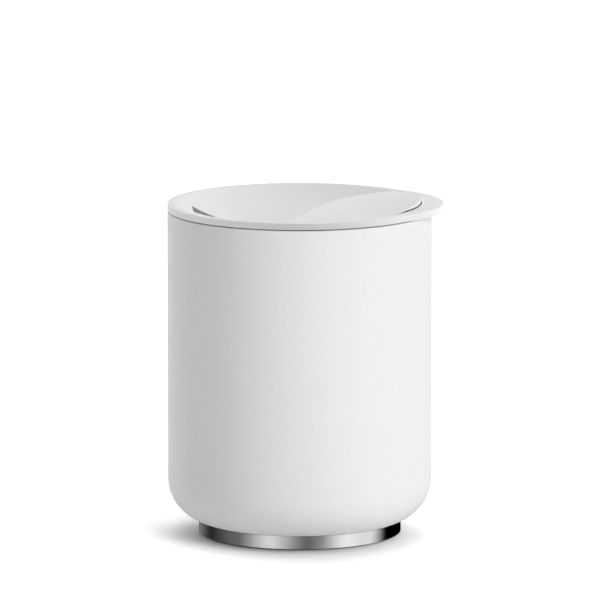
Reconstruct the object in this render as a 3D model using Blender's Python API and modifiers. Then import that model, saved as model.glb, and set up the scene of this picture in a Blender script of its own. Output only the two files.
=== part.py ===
"""Lidded cup that stands under a coffee grinder and catches the grounds.

Units are metres and +Z is up. The origin is the centre of the foot's underside, and the
lid's thumb lip points along +X. The lid's pieces are modelled from the plane of its rim.
"""
from math import acos, atan2, cos, hypot, pi, radians, sin, sqrt

import bmesh
import bpy

MM = 0.001

# Clearance between pieces that touch
FIT_GAP = 0.3 * MM

# Cup
BODY_RADIUS = 42.0 * MM
CUP_WALL = 1.0 * MM
CUP_RIM_HEIGHT = 103.5 * MM
CUP_RIM_ROUND = 0.25 * MM
CORNER_RADIUS = 13.5 * MM
CUP_UNDERSIDE = 4.0 * MM

# Foot
FOOT_RADIUS = 32.2 * MM
FOOT_WALL = 1.4 * MM
FOOT_LIFT = 0.15 * MM
FOOT_EDGE = 0.3 * MM
FOOT_SHELF = 0.8 * MM
FOOT_SHELF_WIDTH = 7.0 * MM
PAD_THICKNESS = 0.8 * MM
PAD_EDGE = 0.3 * MM

# Magnets in the foot
MAGNET_COUNT = 3
MAGNET_RADIUS = 6.0 * MM
MAGNET_THICKNESS = 1.5 * MM
MAGNET_CIRCLE = 15.0 * MM

# Lid rim and thumb lip
SEAM_GAP = 0.3 * MM
RIM_THICKNESS = 2.05 * MM
RIM_EDGE = 0.12 * MM
RIM_WIDTH = 2.6 * MM
LIP_OVERHANG = 3.65 * MM
LIP_DROP = 0.4 * MM
LIP_CENTRE = 12.4 * MM
LIP_BLEND = 1.2 * MM

# Dish in the lid
BOWL_RADIUS = BODY_RADIUS - RIM_WIDTH
BOWL_OFFSET = -0.6 * MM
BOWL_SHIFT = 0.9 * MM
DISH_DEPTH = 6.0 * MM
DISH_POWER = 3.0
DISH_WALL = 1.5 * MM
BANK_ANGLE = radians(203.0)
BANK_OFFSET = 0.403 * BOWL_RADIUS
BANK_POWER = 1.3
SEAT_DEPTH = 1.8 * MM
SEAT_WALL = 0.1 * MM

# Opening in the dish, with a sharp straight edge inside and a ramp down to it outside
OPENING_INSET = 11.3 * MM
OPENING_START = -19.2 * MM
OPENING_LENGTH = 34.0 * MM
OPENING_WIDTH = 6.2 * MM
OPENING_POWER = 1.6
OPENING_TIP = 0.04
OPENING_LAND = 0.25 * MM
OPENING_UNDERCUT = 1.0
RAMP_DEPTH = 1.2 * MM
RAMP_SLOPE = 1.1
RAMP_TAPER = 0.3

# Leaf that swirls up out of the dish
LEAF_START = radians(-98.6)
LEAF_END = radians(31.0)
LEAF_BULGE = 2.2 * MM
LEAF_CREST = 2.0 * MM
LEAF_HOLLOW = 0.3 * MM
LEAF_FALL = 2.4
LEAF_EDGE_RISE = 1.6 * MM
LEAF_RISE_FRONT = radians(46.0)
LEAF_RISE_BACK = radians(36.0)
LEAF_EDGE_DROP = 0.1 * MM
LEAF_EDGE = 0.3 * MM
LEAF_SHADOW_GAP = 0.35 * MM
LEAF_THICKNESS = 1.1 * MM
LEAF_ROLL = 3.2 * MM
LEAF_ROLL_TAPER = 6.0 * MM
LEAF_UNDERCUT = 4.0 * MM
LEAF_UNDERCUT_SHARE = 0.45
LEAF_SEAT_GAP = 0.45 * MM
LEAF_TIP = 0.012

# Plug and seal under the lid
SPIGOT_WALL = 1.2 * MM
SPIGOT_LENGTH = 3.6 * MM
PLUG_WALL = 1.7 * MM
PLUG_CLEARANCE = 0.6 * MM
PLUG_LENGTH = 8.6 * MM
SEAL_HEIGHT = 2.4 * MM
SEAL_FROM_TOP = 3.8 * MM
SEAL_DEPTH = 0.9 * MM

# Facets
TURN_STEPS = 64
CORNER_STEPS = 8
MAGNET_STEPS = 32
LID_STEPS = 84
LEAF_STEPS = 28
LEAF_ROWS = 6
OPENING_STEPS = 14
SHARP_ANGLE = radians(35.0)

# Rows of points in the dish, as shares of the way to the crease and from there to the edge
INNER_ROWS = (0.3, 0.55, 0.8, 1.0)
OUTER_ROWS = (0.35, 0.65, 0.85)
UNDER_ROW = 0.5
CREASE_LIMIT = 0.9 * BOWL_RADIUS
PLAIN_REACH = 0.62 * BOWL_RADIUS
PLAIN_TURN = radians(40.0)

# Heights and radii that follow from the sizes above
CUP_BORE = BODY_RADIUS - CUP_WALL
RIM_TOP = CUP_RIM_HEIGHT + SEAM_GAP + RIM_THICKNESS
LIP_RADIUS = BODY_RADIUS + LIP_OVERHANG - LIP_CENTRE
OPENING_OFFSET = BOWL_RADIUS - OPENING_INSET
PLUG_RADIUS = CUP_BORE - PLUG_CLEARANCE
SPIGOT_RADIUS = PLUG_RADIUS - PLUG_WALL - FIT_GAP
SEAT_MARGIN = FIT_GAP / BOWL_RADIUS
FOOT_BORE = FOOT_RADIUS - FOOT_WALL


def start_scene():
    """Empties the scene and returns the collections for the parts and the cutters."""
    for old in list(bpy.data.objects):
        bpy.data.objects.remove(old, do_unlink=True)
    groups = []
    for name in ("grounds_cup", "cutters"):
        group = bpy.data.collections.new(name)
        bpy.context.scene.collection.children.link(group)
        groups.append(group)
    return groups


PARTS, CUTTERS = start_scene()


def finish(name, colour, roughness, metallic=0.0):
    """A Principled material."""
    material = bpy.data.materials.new(name)
    material.use_nodes = True
    shader = material.node_tree.nodes["Principled BSDF"]
    shader.inputs["Base Color"].default_value = (*colour, 1.0)
    shader.inputs["Roughness"].default_value = roughness
    shader.inputs["Metallic"].default_value = metallic
    return material


def add_part(name, mesh, material, parent=None):
    """Puts a mesh in the scene as one named piece."""
    piece = bpy.data.objects.new(name, mesh)
    mesh.materials.append(material)
    PARTS.objects.link(piece)
    piece.parent = parent
    return piece


def arc(centre_r, centre_z, radius, first, last, count):
    """Points of a profile along an arc, angles in degrees from the outward direction."""
    points = []
    for i in range(count + 1):
        angle = radians(first + (last - first) * i / count)
        points.append((centre_r + radius * cos(angle), centre_z + radius * sin(angle)))
    return points


def turned(name, profile, material, closed=True, parent=None):
    """Turns a profile of (radius, height) points round the Z axis."""
    mesh = bpy.data.meshes.new(name)
    edges = [(i, i + 1) for i in range(len(profile) - 1)]
    if closed:
        edges.append((len(profile) - 1, 0))
    mesh.from_pydata([(r, 0.0, z) for r, z in profile], edges, [])
    piece = add_part(name, mesh, material, parent)
    screw = piece.modifiers.new("turn", "SCREW")
    screw.axis = "Z"
    screw.angle = 2 * pi
    screw.steps = TURN_STEPS
    screw.render_steps = TURN_STEPS
    screw.use_merge_vertices = True
    screw.merge_threshold = 0.00001
    screw.use_smooth_shade = True
    return piece


def closed_mesh(name, points, faces, material, parent=None):
    """A closed piece from rows of points, shaded smooth except at its sharp edges."""
    mesh = bpy.data.meshes.new(name)
    mesh.from_pydata(points, [], faces)
    shell = bmesh.new()
    shell.from_mesh(mesh)
    bmesh.ops.recalc_face_normals(shell, faces=shell.faces)
    shell.to_mesh(mesh)
    shell.free()
    mesh.shade_smooth()
    mesh.set_sharp_from_angle(angle=SHARP_ANGLE)
    return add_part(name, mesh, material, parent)


def cut(piece, cutter):
    """Cuts one piece with another and hides the cutter."""
    for group in cutter.users_collection:
        group.objects.unlink(cutter)
    CUTTERS.objects.link(cutter)
    cutter.hide_render = True
    cutter.display_type = "WIRE"
    boolean = piece.modifiers.new("cut " + cutter.name, "BOOLEAN")
    boolean.operation = "DIFFERENCE"
    boolean.object = cutter


def cylinder(name, radius, bottom, top, x, y):
    """An upright cylinder, also used as a cutter."""
    bpy.ops.mesh.primitive_cylinder_add(
        vertices=MAGNET_STEPS, radius=radius, depth=top - bottom, location=(x, y, (bottom + top) / 2))
    piece = bpy.context.object
    piece.name = name
    piece.data.name = name
    piece.data.shade_smooth()
    piece.data.set_sharp_from_angle(angle=SHARP_ANGLE)
    return piece


def cup_underside(radius):
    """Height of the cup's outer surface under its rounded edge."""
    reach = max(0.0, radius - (BODY_RADIUS - CORNER_RADIUS))
    return CUP_UNDERSIDE + CORNER_RADIUS - sqrt(max(0.0, CORNER_RADIUS**2 - reach**2))


def make_cup_shell(coat):
    """Drawn cup: floor, rounded edge, straight wall and a rounded rim."""
    corner_r = BODY_RADIUS - CORNER_RADIUS
    corner_z = CUP_UNDERSIDE + CORNER_RADIUS
    profile = [(0.0, CUP_UNDERSIDE + CUP_WALL)]
    profile += arc(corner_r, corner_z, CORNER_RADIUS - CUP_WALL, -90, 0, CORNER_STEPS)
    profile.append((CUP_BORE, CUP_RIM_HEIGHT - CUP_RIM_ROUND))
    profile.append((CUP_BORE + CUP_RIM_ROUND, CUP_RIM_HEIGHT))
    profile.append((BODY_RADIUS - CUP_RIM_ROUND, CUP_RIM_HEIGHT))
    profile.append((BODY_RADIUS, CUP_RIM_HEIGHT - CUP_RIM_ROUND))
    profile += arc(corner_r, corner_z, CORNER_RADIUS, 0, -90, CORNER_STEPS)
    profile.append((0.0, CUP_UNDERSIDE))
    return turned("cup_shell", profile, coat, closed=False)


def make_foot(steel, rubber, moulding, magnet_steel):
    """Polished foot with a shelf under the cup, and the magnets, tray and pad inside it."""
    shelf_top = CUP_UNDERSIDE - FIT_GAP
    shelf_bottom = shelf_top - FOOT_SHELF
    shelf_hole = FOOT_BORE - FOOT_SHELF_WIDTH
    profile = [(shelf_hole, shelf_top), (BODY_RADIUS - CORNER_RADIUS, shelf_top)]
    for radius in (FOOT_BORE, (FOOT_BORE + FOOT_RADIUS) / 2, FOOT_RADIUS):
        profile.append((radius, cup_underside(radius) - FIT_GAP))
    profile += [(FOOT_RADIUS, FOOT_LIFT + FOOT_EDGE), (FOOT_RADIUS - FOOT_EDGE, FOOT_LIFT)]
    profile += [(FOOT_BORE, FOOT_LIFT), (FOOT_BORE, shelf_bottom), (shelf_hole, shelf_bottom)]
    turned("foot_ring", profile, steel)

    pad_radius = FOOT_BORE - FIT_GAP
    profile = [(0.0, PAD_THICKNESS), (pad_radius, PAD_THICKNESS), (pad_radius, PAD_EDGE)]
    profile += [(pad_radius - PAD_EDGE, 0.0), (0.0, 0.0)]
    turned("foot_pad", profile, rubber, closed=False)

    tray_bottom = PAD_THICKNESS + FIT_GAP
    tray_radius = FOOT_BORE - FIT_GAP
    boss_radius = shelf_hole - FIT_GAP
    profile = [(0.0, shelf_top), (boss_radius, shelf_top), (boss_radius, shelf_bottom - FIT_GAP)]
    profile += [(tray_radius, shelf_bottom - FIT_GAP), (tray_radius, tray_bottom), (0.0, tray_bottom)]
    tray = turned("magnet_holder", profile, moulding, closed=False)
    for i in range(MAGNET_COUNT):
        angle = 2 * pi * i / MAGNET_COUNT
        x = MAGNET_CIRCLE * cos(angle)
        y = MAGNET_CIRCLE * sin(angle)
        magnet_bottom = shelf_top - MAGNET_THICKNESS
        pocket = cylinder(f"magnet_pocket_{i + 1}", MAGNET_RADIUS + FIT_GAP,
                          magnet_bottom - FIT_GAP, CUP_UNDERSIDE, x, y)
        cut(tray, pocket)
        magnet = cylinder(f"magnet_{i + 1}", MAGNET_RADIUS, magnet_bottom, shelf_top, x, y)
        magnet.data.materials.append(magnet_steel)
        for group in magnet.users_collection:
            group.objects.unlink(magnet)
        PARTS.objects.link(magnet)


def lid_outline(angle):
    """Radius of the lid's outer edge: the cup's circle with the thumb lip blended into it."""
    reach = LIP_CENTRE * cos(angle)
    lip = reach + sqrt(max(0.0, reach**2 + LIP_RADIUS**2 - LIP_CENTRE**2))
    step = max(0.0, LIP_BLEND - abs(lip - BODY_RADIUS)) / LIP_BLEND
    return max(lip, BODY_RADIUS) + step**2 * LIP_BLEND / 4


def dish_round(reach):
    """Height of the round dish at a distance from its centre."""
    return -DISH_DEPTH * (1.0 - min(1.0, reach / BOWL_RADIUS)**DISH_POWER)


def dish(reach, angle):
    """Height of the dish: round, with a straight crease and a steeper bank beyond it."""
    out = reach * cos(angle - BANK_ANGLE)
    along = reach * sin(angle - BANK_ANGLE)
    if out <= BANK_OFFSET:
        return dish_round(reach)
    edge = sqrt(max(0.0, BOWL_RADIUS**2 - along**2))
    share = min(1.0, (out - BANK_OFFSET) / max(edge - BANK_OFFSET, 0.01 * MM))
    return (1.0 - share**BANK_POWER) * dish_round(hypot(BANK_OFFSET, along))


def crease_reach(angle):
    """Reach of the row of points that follows the crease where it passes, and is plain elsewhere."""
    half = acos(BANK_OFFSET / BOWL_RADIUS)
    away = abs((angle - BANK_ANGLE + pi) % (2 * pi) - pi)
    if away < half:
        return min(CREASE_LIMIT, BANK_OFFSET / cos(away))
    fade = min(1.0, (away - half) / PLAIN_TURN)
    return CREASE_LIMIT + (PLAIN_REACH - CREASE_LIMIT) * fade


def seat(angle):
    """Depth of the ledge that the leaf lies in, at the bowl's edge."""
    from_middle = (angle - (LEAF_START + LEAF_END) / 2 + pi) % (2 * pi) - pi
    beyond = abs(from_middle) - (LEAF_END - LEAF_START) / 2
    return SEAT_DEPTH * min(1.0, max(0.0, 2.0 - beyond / SEAT_MARGIN))


def seated_dish(reach, angle):
    """Height of the dish with the leaf's ledge cut into its edge."""
    return min(dish(reach, angle), -seat(angle))


def bowl_point(reach, angle, height):
    """A point given from the bowl's own centre."""
    return (BOWL_OFFSET + reach * cos(angle), BOWL_SHIFT + reach * sin(angle), height)


def lid_section(angle):
    """One radial section of the lid, from the middle of the dish round to the middle underneath."""
    mid = crease_reach(angle)
    tops = [mid * share for share in INNER_ROWS]
    tops += [mid + (BOWL_RADIUS - mid) * share for share in OUTER_ROWS]
    points = [bowl_point(reach, angle, seated_dish(reach, angle)) for reach in tops]
    ledge = BOWL_RADIUS - SEAT_WALL
    points.append(bowl_point(ledge, angle, seated_dish(ledge, angle)))
    points.append(bowl_point(BOWL_RADIUS, angle, 0.0))
    edge = lid_outline(angle)
    lip_under = -RIM_THICKNESS - LIP_DROP * (edge - BODY_RADIUS) / LIP_OVERHANG
    for radius, height in (
            (edge - RIM_EDGE, 0.0), (edge, -RIM_EDGE), (edge, lip_under + RIM_EDGE),
            (edge - RIM_EDGE, lip_under), (BODY_RADIUS - 2 * RIM_EDGE, -RIM_THICKNESS),
            (SPIGOT_RADIUS, -RIM_THICKNESS),
            (SPIGOT_RADIUS, -RIM_THICKNESS - SPIGOT_LENGTH),
            (SPIGOT_RADIUS - SPIGOT_WALL, -RIM_THICKNESS - SPIGOT_LENGTH)):
        points.append((radius * cos(angle), radius * sin(angle), height))
    inner = SPIGOT_RADIUS - SPIGOT_WALL
    under = min(seated_dish(inner, angle), -SEAT_DEPTH / 2) - DISH_WALL
    points.append((inner * cos(angle), inner * sin(angle), under))
    for reach in (mid + (inner - mid) * UNDER_ROW, mid, mid * UNDER_ROW):
        under = min(seated_dish(reach, angle), -SEAT_DEPTH / 2) - DISH_WALL
        points.append(bowl_point(reach, angle, under))
    return points


def make_lid_cover(white):
    """Lid: rim with the thumb lip, dish with its bank, spigot underneath and the opening."""
    angles = [2 * pi * k / LID_STEPS for k in range(LID_STEPS)]
    for beyond in (SEAT_MARGIN, 2 * SEAT_MARGIN):
        angles += [(LEAF_START - beyond) % (2 * pi), (LEAF_END + beyond) % (2 * pi)]
    sections = [lid_section(angle) for angle in sorted(angles)]
    steps = len(sections)
    rows = len(sections[0])
    points = [point for section in sections for point in section]
    faces = []
    for k in range(steps):
        here = k * rows
        after = (k + 1) % steps * rows
        for j in range(rows - 1):
            faces.append((here + j, here + j + 1, after + j + 1, after + j))
    top = len(points)
    points.append(bowl_point(0.0, 0.0, dish(0.0, 0.0)))
    bottom = len(points)
    points.append(bowl_point(0.0, 0.0, dish(0.0, 0.0) - DISH_WALL))
    for k in range(steps):
        here = k * rows
        after = (k + 1) % steps * rows
        faces.append((top, here, after))
        faces.append((bottom, after + rows - 1, here + rows - 1))
    cover = closed_mesh("lid_cover", points, faces, white, LID)
    cut(cover, opening_cutter(white))
    return cover


def opening_cutter(white):
    """Prism through the dish, undercut along its straight edge and ramped on its curved side."""
    outline = []
    for i in range(OPENING_STEPS + 1):
        outline.append((OPENING_TIP + (1.0 - 2 * OPENING_TIP) * i / OPENING_STEPS, True))
    outline += [(share, False) for share, inside in reversed(outline)]
    bottom = -DISH_DEPTH - 3 * DISH_WALL
    top = RIM_THICKNESS
    levels = ([], [], [])
    for share, inside in outline:
        swell = sin(pi * share)
        along = OPENING_START + OPENING_LENGTH * share
        out = OPENING_OFFSET if inside else OPENING_OFFSET + OPENING_WIDTH * swell**OPENING_POWER
        surface = dish(hypot(out, along), BANK_ANGLE + atan2(along, out))
        if inside:
            land = surface - OPENING_LAND
            reaches = (out - OPENING_UNDERCUT * (land - bottom), out, out)
        else:
            land = surface - RAMP_DEPTH
            reaches = (out, out, out + RAMP_SLOPE * swell**RAMP_TAPER * (top - land))
        for level, reach, height in zip(levels, reaches, (bottom, land, top)):
            level.append(bowl_point(hypot(reach, along), BANK_ANGLE + atan2(along, reach), height))
    points = levels[0] + levels[1] + levels[2]
    count = len(outline)
    faces = [tuple(range(count)), tuple(range(2 * count, 3 * count))]
    for low in (0, count):
        for k in range(count):
            after = (k + 1) % count
            faces.append((low + k, low + after, low + count + after, low + count + k))
    return closed_mesh("dish_opening", points, faces, white, LID)


def leaf_edge_height(angle):
    """Height of the leaf's outer edge, raised beside the thumb lip."""
    away = min(1.0, angle / LEAF_RISE_BACK if angle > 0.0 else -angle / LEAF_RISE_FRONT)
    return LEAF_EDGE_RISE * cos(away * pi / 2) - LEAF_EDGE_DROP


def leaf_section(share):
    """One section across the leaf, from its foot in the dish over the crest to its outer edge."""
    reach = BOWL_RADIUS - FIT_GAP
    start = bowl_point(reach, LEAF_START, 0.0)
    end = bowl_point(reach, LEAF_END, 0.0)
    half = hypot(end[0] - start[0], end[1] - start[1]) / 2
    radius = (half**2 + LEAF_BULGE**2) / (2 * LEAF_BULGE)
    along = ((end[0] - start[0]) / (2 * half), (end[1] - start[1]) / (2 * half))
    inward = (-along[1], along[0])
    spread = 2 * atan2(LEAF_BULGE, half)
    turn = spread * 2 * (share - 0.5)
    mid = ((start[0] + end[0]) / 2, (start[1] + end[1]) / 2)
    lift = LEAF_BULGE - radius * (1 - cos(turn))
    crest = (mid[0] + along[0] * radius * sin(turn) + inward[0] * lift,
             mid[1] + along[1] * radius * sin(turn) + inward[1] * lift)
    angle = LEAF_START + (LEAF_END - LEAF_START) * share
    edge = bowl_point(reach, angle, 0.0)
    width = hypot(edge[0] - crest[0], edge[1] - crest[1])
    across = ((edge[0] - crest[0]) / width, (edge[1] - crest[1]) / width)
    edge_z = leaf_edge_height(angle)
    end_z = leaf_edge_height(LEAF_END)
    crest_z = LEAF_CREST * sin(pi * share) + end_z * share - LEAF_EDGE_DROP * (1.0 - share)

    def spot(distance, height=None):
        x = crest[0] + across[0] * distance
        y = crest[1] + across[1] * distance
        if height is None:
            from_bowl = hypot(x - BOWL_OFFSET, y - BOWL_SHIFT)
            bearing = atan2(y - BOWL_SHIFT, x - BOWL_OFFSET)
            height = min(dish(from_bowl, bearing), -SEAT_DEPTH) + LEAF_SEAT_GAP
        return (x, y, height)

    undercut = min(LEAF_UNDERCUT, width * LEAF_UNDERCUT_SHARE)
    roll = LEAF_ROLL * width / (width + LEAF_ROLL_TAPER)
    points = []
    foot = spot(-roll)
    points.append(foot)
    for step in (0.25, 0.5, 0.75):
        swing = step * pi / 2
        points.append(spot(-roll * cos(swing), foot[2] + (crest_z - foot[2]) * sin(swing)))
    for row in range(LEAF_ROWS + 1):
        reach_share = row / LEAF_ROWS
        height = edge_z + (crest_z - edge_z) * (1.0 - reach_share)**LEAF_FALL
        points.append(spot(width * reach_share, height - LEAF_HOLLOW * sin(pi * reach_share)))
    points.append(spot(width, min(LEAF_SHADOW_GAP, edge_z - LEAF_EDGE)))
    points.append(spot(width - undercut, edge_z - LEAF_THICKNESS))
    points.append(spot(width - undercut))
    for step in (0.75, 0.5, 0.25):
        points.append(spot((width - undercut) * step))
    return points


def make_swirl_leaf(white):
    """Leaf-shaped piece that rises from the dish and stands clear of the rim beside the lip."""
    span = 1.0 - 2 * LEAF_TIP
    sections = [leaf_section(LEAF_TIP + span * k / LEAF_STEPS) for k in range(LEAF_STEPS + 1)]
    rows = len(sections[0])
    points = [point for section in sections for point in section]
    faces = [tuple(range(rows)), tuple(range(LEAF_STEPS * rows, (LEAF_STEPS + 1) * rows))]
    for k in range(LEAF_STEPS):
        for j in range(rows):
            after = (j + 1) % rows
            faces.append((k * rows + j, k * rows + after, (k + 1) * rows + after, (k + 1) * rows + j))
    return closed_mesh("swirl_leaf", points, faces, white, LID)


def make_plug_and_seal(white, silicone):
    """Ring that centres the lid in the cup, and the seal in its groove."""
    top = -RIM_THICKNESS - FIT_GAP
    bottom = top - PLUG_LENGTH
    bore = PLUG_RADIUS - PLUG_WALL
    seal_top = top - SEAL_FROM_TOP
    seal_bottom = seal_top - SEAL_HEIGHT
    groove = PLUG_RADIUS - SEAL_DEPTH
    profile = [(bore, top), (PLUG_RADIUS, top)]
    profile += [(PLUG_RADIUS, seal_top + FIT_GAP), (groove, seal_top + FIT_GAP)]
    profile += [(groove, seal_bottom - FIT_GAP), (PLUG_RADIUS, seal_bottom - FIT_GAP)]
    profile += [(PLUG_RADIUS, bottom + PLUG_WALL / 2), (PLUG_RADIUS - PLUG_WALL / 2, bottom), (bore, bottom)]
    turned("lid_plug", profile, white, parent=LID)

    lip_radius = CUP_BORE - FIT_GAP
    back = groove + FIT_GAP
    profile = [(back, seal_top), (PLUG_RADIUS, seal_top), (lip_radius, seal_top - SEAL_HEIGHT / 4)]
    profile += [(lip_radius, seal_top - SEAL_HEIGHT / 2), (PLUG_RADIUS, seal_bottom), (back, seal_bottom)]
    turned("lid_seal", profile, silicone, parent=LID)


COAT = finish("powder_coat", (0.86, 0.86, 0.86), 0.55)
LID_WHITE = finish("lid_moulding", (0.83, 0.83, 0.83), 0.4)
POLISHED = finish("polished_steel", (0.78, 0.78, 0.78), 0.06, 1.0)
SILICONE = finish("grey_silicone", (0.35, 0.35, 0.36), 0.6)
TRAY = finish("black_moulding", (0.03, 0.03, 0.03), 0.5)
MAGNET = finish("nickel_plate", (0.6, 0.58, 0.55), 0.25, 1.0)

LID = bpy.data.objects.new("lid_lift_axis", None)
LID.location = (0.0, 0.0, RIM_TOP)
PARTS.objects.link(LID)

make_cup_shell(COAT)
make_foot(POLISHED, SILICONE, TRAY, MAGNET)
make_lid_cover(LID_WHITE)
make_swirl_leaf(LID_WHITE)
make_plug_and_seal(LID_WHITE, SILICONE)
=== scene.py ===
"""Looks of a lidded cup that catches ground coffee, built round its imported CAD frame.

The file is laid out as an add-on and is run as a script. Units are metres and +Z is up.
Heights in the forms of the lid and its leaf are measured from the plane of the lid's rim.
"""

from math import acos, atan2, cos, hypot, pi, radians, sin, sqrt

import bpy
from bpy.props import FloatProperty, FloatVectorProperty, IntProperty, PointerProperty
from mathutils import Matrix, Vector


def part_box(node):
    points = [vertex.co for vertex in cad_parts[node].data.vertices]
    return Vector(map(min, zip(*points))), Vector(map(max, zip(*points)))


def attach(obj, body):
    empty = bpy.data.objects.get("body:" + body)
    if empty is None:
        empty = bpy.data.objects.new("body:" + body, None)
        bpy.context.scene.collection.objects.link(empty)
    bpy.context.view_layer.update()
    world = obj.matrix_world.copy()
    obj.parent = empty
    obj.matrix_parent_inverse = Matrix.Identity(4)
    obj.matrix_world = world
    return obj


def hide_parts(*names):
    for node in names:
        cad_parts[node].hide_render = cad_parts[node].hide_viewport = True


bl_info = {
    "name": "Grounds cup",
    "version": (1, 0, 0),
    "blender": (4, 5, 0),
    "location": "View3D > Sidebar > Grounds cup",
    "description": "Models and dresses a lidded cup for ground coffee",
    "category": "Object",
}

LID_PIECES = ("lid_top", "raised_leaf", "centring_ring", "sealing_ring")

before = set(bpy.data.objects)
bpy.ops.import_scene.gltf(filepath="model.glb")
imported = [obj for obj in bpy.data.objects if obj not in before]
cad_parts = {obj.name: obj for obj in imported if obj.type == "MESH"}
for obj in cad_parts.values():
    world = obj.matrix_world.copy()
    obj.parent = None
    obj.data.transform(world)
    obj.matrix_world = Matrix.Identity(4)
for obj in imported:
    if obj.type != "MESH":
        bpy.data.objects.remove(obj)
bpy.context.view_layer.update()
CUP_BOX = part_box("cup_shell")
FOOT_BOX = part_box("foot_ring")
PAD_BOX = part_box("foot_pad")
LID_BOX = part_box("lid_cover")
PLUG_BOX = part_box("lid_plug")
SEAL_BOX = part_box("lid_seal")

MM = 0.001
FULL_TURN = 2 * pi
MERGE = 0.002 * MM
SMALL = 0.01 * MM

# Drop of the cup's rim below that of its CAD solid, for the width of the seam
SEAM_EASE = 0.08 * MM

# Steps along the outlines that shape the pieces
EDGE_STEPS = 4
CORNER_STEPS = 24
BORE_STEPS = 20
FOOT_SEAT_STEPS = 8
FOOT_EDGE_STEPS = 5
PLUG_EDGE_STEPS = 6
SEAL_STEPS = 6
DISH_STEPS = 16
BANK_STEPS = 18
UNDERSIDE_STEPS = 8
OPENING_STEPS = 48
OPENING_WALL_STEPS = 8
OPENING_ROLL_STEPS = 7
LEAF_ROLL_STEPS = 12
LEAF_TOP_STEPS = 40
LEAF_SEAT_STEPS = 8
FLOOR_STEPS = 128
CARD_STEPS = 180

# Row of points along the crease: its shares of the dish, its fade and the distance to its neighbours
CREASE_END = 0.985
CREASE_ELSEWHERE = 0.62
CREASE_FADE = radians(50.0)
CREASE_BESIDE = 0.12 * MM

# Roll into the opening, rounding of the leaf's edge as a share of its width, and the seal's lip
OPENING_SWING = radians(80.0)
LEAF_ROUND_SHARE = 0.05
SEAL_LIP_SHARE = 0.125
SEAL_LIP_DROP = 0.375
SEAL_LIP_SWING = 70.0

# Bump of a material's grain as a share of the grain's size
RELIEF_SHARE = 1 / 6

# Angles in degrees from which an edge stays sharp
SHARP = 35.0
LID_SHARP = 30.0
LEAF_SHARP = 40.0

# Lamps and camera
LAMP_DISTANCE = 2.0
LAMP_SPREAD = radians(40.0)
SENSOR_WIDTH = 36.0
VIEW_LIMIT = 100.0

# Lamps: name, turn and rise in degrees, strength, and the pieces that each one lights
LAMPS = (
    ("key_light", 42.0, 27.0, 1.87, "cup"),
    ("side_light", -135.0, 25.0, 0.85, "cup"),
    ("top_light", 175.0, 66.0, 0.7, "cup"),
    ("back_light", 150.0, 10.0, 0.45, "cup"),
    ("lid_light", 92.0, 10.0, 1.9, "lid"),
    ("lid_side", -90.0, 12.0, 0.48, "lid"),
    ("lid_fill", 60.0, 40.0, 0.42, "lid"),
    ("lid_overhead", 0.0, 85.0, 1.08, "lid"),
)

# Reflector cards over half a turn round the foot: direction, half width and blur in degrees, brightness
CARDS = (
    (-28.4, 22.2, 17.9, 0.17),
    (-17.6, 10.8, 10.7, 0.52),
    (4.8, 28.4, 7.3, 0.15),
    (31.5, 20.6, 7.4, 0.27),
    (34.8, 15.4, 7.7, 0.64),
    (-86.1, 16.9, 11.2, 0.19),
)
CARD_SPAN = 180.0


def size(name, description, default):
    """A length that a user may change."""
    return FloatProperty(name=name, description=description, default=default, unit="LENGTH", precision=5)


def angle(name, description, default):
    """An angle that a user may change, given in degrees."""
    return FloatProperty(name=name, description=description, default=radians(default), subtype="ANGLE")


def share(name, description, default):
    """A plain number that a user may change."""
    return FloatProperty(name=name, description=description, default=default)


def colour(name, description, default):
    """A colour that a user may change."""
    return FloatVectorProperty(name=name, description=description, default=default, subtype="COLOR",
                               size=3, min=0.0, max=1.0)


class CupSizes(bpy.types.PropertyGroup):
    """Sizes of the cup, its foot and its pad."""
    body_radius: size("Body radius", "Outer radius of the cup", CUP_BOX[1].x)
    rim_height: size("Rim height", "Height of the cup's rim", CUP_BOX[1].z - SEAM_EASE)
    underside: size("Underside", "Height of the cup's underside", CUP_BOX[0].z)
    wall: size("Wall", "Thickness of the cup's wall", 1.0 * MM)
    rim_round: size("Rim round", "Radius of the rim's edges", 0.25 * MM)
    corner_radius: size("Corner radius", "Radius of the cup's bottom edge", 13.5 * MM)
    fit_gap: size("Fit gap", "Clearance between pieces that touch", 0.3 * MM)
    foot_radius: size("Foot radius", "Outer radius of the polished foot", FOOT_BOX[1].x)
    foot_lift: size("Foot lift", "Height of the foot's lower edge", FOOT_BOX[0].z)
    foot_wall: size("Foot wall", "Thickness of the foot's wall", 1.4 * MM)
    foot_edge: size("Foot edge", "Radius of the foot's lower edge", 0.3 * MM)
    foot_seam: size("Foot seam", "Gap between the foot and the cup", 0.08 * MM)
    foot_shelf: size("Foot shelf", "Thickness of the shelf under the cup", 0.8 * MM)
    foot_shelf_width: size("Shelf width", "Width of the shelf under the cup", 7.0 * MM)
    pad_radius: size("Pad radius", "Radius of the silicone pad", PAD_BOX[1].x)
    pad_thickness: size("Pad thickness", "Thickness of the silicone pad", PAD_BOX[1].z)
    pad_edge: size("Pad edge", "Radius of the pad's edges", 0.3 * MM)
    turn_steps: IntProperty(name="Turn steps", description="Steps round a turned piece", default=192)


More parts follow.
